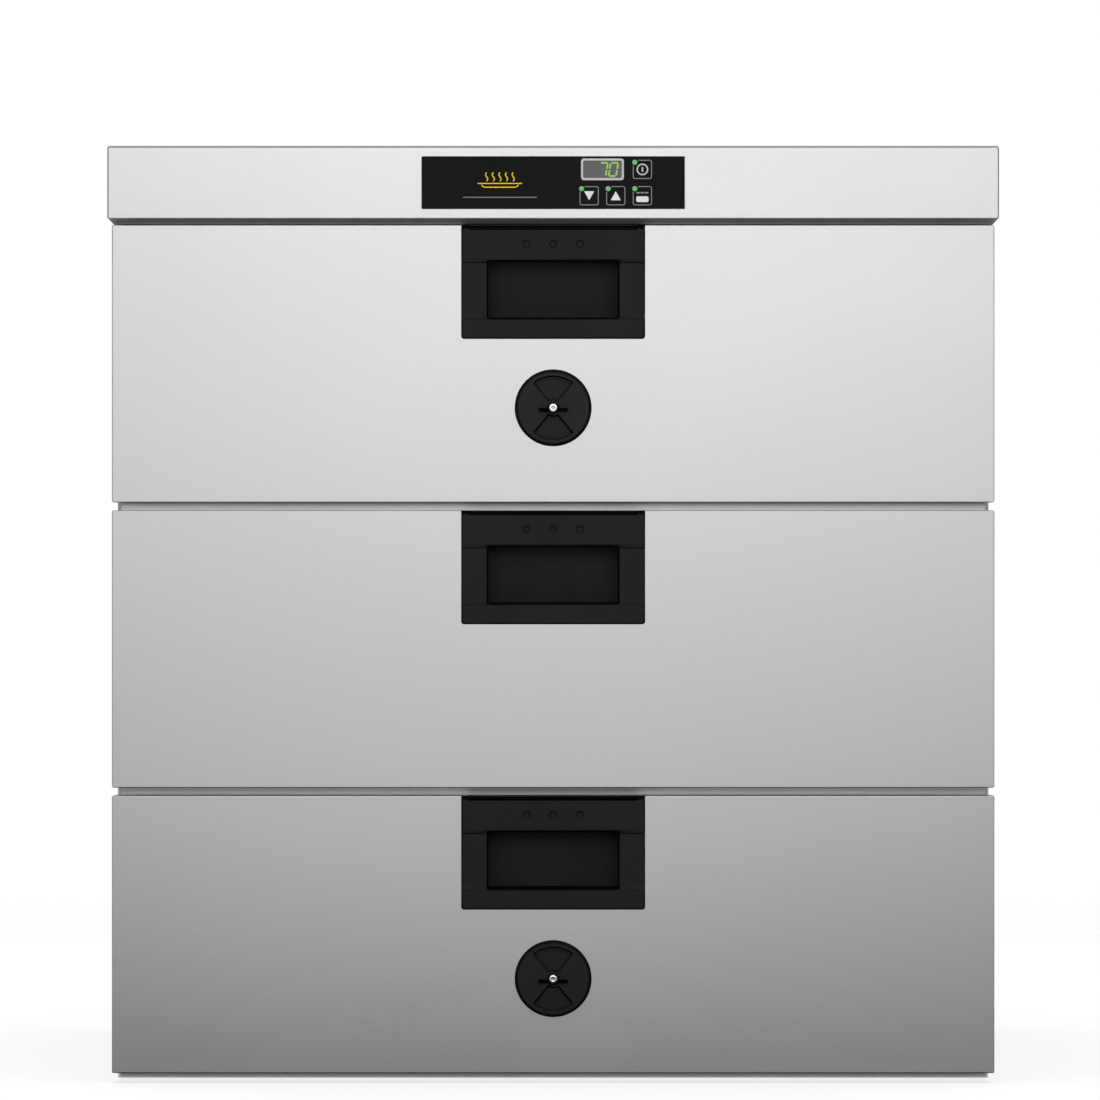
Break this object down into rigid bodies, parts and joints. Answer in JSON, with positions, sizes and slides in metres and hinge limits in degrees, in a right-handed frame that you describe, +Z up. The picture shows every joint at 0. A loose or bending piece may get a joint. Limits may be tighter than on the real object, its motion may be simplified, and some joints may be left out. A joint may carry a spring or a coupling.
{
  "type": "warming drawer unit",
  "caption": "Freestanding stainless steel warming unit with stacked pull-out pan drawers, recessed handles, turning vents and a control hood.",
  "frame": {"origin": "centre of the bounding box footprint, on the surface that the feet stand on", "axes": "+X across the front to the right, +Y from the drawer fronts to the back, +Z up"},
  "size_m": [0.62, 0.502, 0.652],
  "materials": {
    "brushed_steel": "fine satin grain",
    "chamber_steel": "mill finish stainless sheet",
    "pan_steel": "polished stainless",
    "zinc_steel": "zinc plated, dull",
    "heater_steel": "heat-tinted stainless tube",
    "mineral_wool": "compressed mineral wool",
    "fascia_black": "black printed foil, semi-gloss",
    "display_lens": "smoked display window",
    "circuit_board": "green solder resist",
    "wire_sleeve": "silicone fibreglass sleeving",
    "black_plastic": "satin moulded",
    "handle_plastic": "fine textured moulding",
    "foot_rubber": "matt",
    "gasket_rubber": "matt silicone"
  },
  "bodies": {
    "cabinet": {"base_panel": "zinc_steel", "left_side_panel": "brushed_steel", "right_side_panel": "brushed_steel", "back_panel": "brushed_steel", "deck_panel": "zinc_steel", "front_frame": "brushed_steel", "chamber_liner": "chamber_steel", "chamber_insulation": "mineral_wool", "hood": "brushed_steel", "control_fascia": "fascia_black", "display_window": "display_lens", "control_board": "circuit_board", "power_unit": "zinc_steel", "wiring_harness": "wire_sleeve", "cable_gland": "black_plastic", "heating_elements": "heater_steel", "temperature_probes": "heater_steel", "feet": "foot_rubber", "cabinet_rails": "zinc_steel", "casing_screws": "zinc_steel"},
    "top_drawer": {"top_front_skin": "brushed_steel", "top_inner_panel": "chamber_steel", "top_front_insulation": "mineral_wool", "top_gasket": "gasket_rubber", "top_handle": "handle_plastic", "top_drawer_frame": "chamber_steel", "top_pan": "pan_steel", "top_drawer_rails": "zinc_steel", "top_fixings": "zinc_steel", "top_vent_base": "black_plastic", "top_vent_pivot": "zinc_steel"},
    "top_slides": {"top_slide_middles": "zinc_steel"},
    "top_vent": {"top_vent_disc": "black_plastic"},
    "middle_drawer": {"middle_front_skin": "brushed_steel", "middle_inner_panel": "chamber_steel", "middle_front_insulation": "mineral_wool", "middle_gasket": "gasket_rubber", "middle_handle": "handle_plastic", "middle_drawer_frame": "chamber_steel", "middle_pan": "pan_steel", "middle_drawer_rails": "zinc_steel", "middle_fixings": "zinc_steel"},
    "middle_slides": {"middle_slide_middles": "zinc_steel"},
    "bottom_drawer": {"bottom_front_skin": "brushed_steel", "bottom_inner_panel": "chamber_steel", "bottom_front_insulation": "mineral_wool", "bottom_gasket": "gasket_rubber", "bottom_handle": "handle_plastic", "bottom_drawer_frame": "chamber_steel", "bottom_pan": "pan_steel", "bottom_drawer_rails": "zinc_steel", "bottom_fixings": "zinc_steel", "bottom_vent_base": "black_plastic", "bottom_vent_pivot": "zinc_steel"},
    "bottom_slides": {"bottom_slide_middles": "zinc_steel"},
    "bottom_vent": {"bottom_vent_disc": "black_plastic"},
    "power_button": {"power_key": "fascia_black"},
    "start_button": {"start_key": "fascia_black"},
    "up_button": {"up_key": "fascia_black"},
    "down_button": {"down_key": "fascia_black"}
  },
  "joints": [
    {"name": "top_drawer_slide", "type": "slide", "parent": "cabinet", "child": "top_drawer", "axis": [0, -1, 0], "range_m": [0, 0.36]},
    {"name": "top_slide_extension", "type": "slide", "parent": "cabinet", "child": "top_slides", "axis": [0, -1, 0], "range_m": [0, 0.18]},
    {"name": "top_vent_turn", "type": "hinge", "parent": "top_drawer", "child": "top_vent", "pos_m": [0, -0.246, 0.4698], "axis": [0, 1, 0], "range_deg": [0, 90]},
    {"name": "middle_drawer_slide", "type": "slide", "parent": "cabinet", "child": "middle_drawer", "axis": [0, -1, 0], "range_m": [0, 0.36]},
    {"name": "middle_slide_extension", "type": "slide", "parent": "cabinet", "child": "middle_slides", "axis": [0, -1, 0], "range_m": [0, 0.18]},
    {"name": "bottom_drawer_slide", "type": "slide", "parent": "cabinet", "child": "bottom_drawer", "axis": [0, -1, 0], "range_m": [0, 0.36]},
    {"name": "bottom_slide_extension", "type": "slide", "parent": "cabinet", "child": "bottom_slides", "axis": [0, -1, 0], "range_m": [0, 0.18]},
    {"name": "bottom_vent_turn", "type": "hinge", "parent": "bottom_drawer", "child": "bottom_vent", "pos_m": [0, -0.246, 0.0728], "axis": [0, 1, 0], "range_deg": [0, 90]},
    {"name": "power_button_press", "type": "slide", "parent": "cabinet", "child": "power_button", "axis": [0, 1, 0], "range_m": [0, 0.0005], "stiffness_N_per_m": 400},
    {"name": "start_button_press", "type": "slide", "parent": "cabinet", "child": "start_button", "axis": [0, 1, 0], "range_m": [0, 0.0005], "stiffness_N_per_m": 400},
    {"name": "up_button_press", "type": "slide", "parent": "cabinet", "child": "up_button", "axis": [0, 1, 0], "range_m": [0, 0.0005], "stiffness_N_per_m": 400},
    {"name": "down_button_press", "type": "slide", "parent": "cabinet", "child": "down_button", "axis": [0, 1, 0], "range_m": [0, 0.0005], "stiffness_N_per_m": 400}
  ],
  "couplings": [
    {"joint": "top_slide_extension", "follows": "top_drawer_slide", "ratio": 0.5},
    {"joint": "middle_slide_extension", "follows": "middle_drawer_slide", "ratio": 0.5},
    {"joint": "bottom_slide_extension", "follows": "bottom_drawer_slide", "ratio": 0.5}
  ]
}
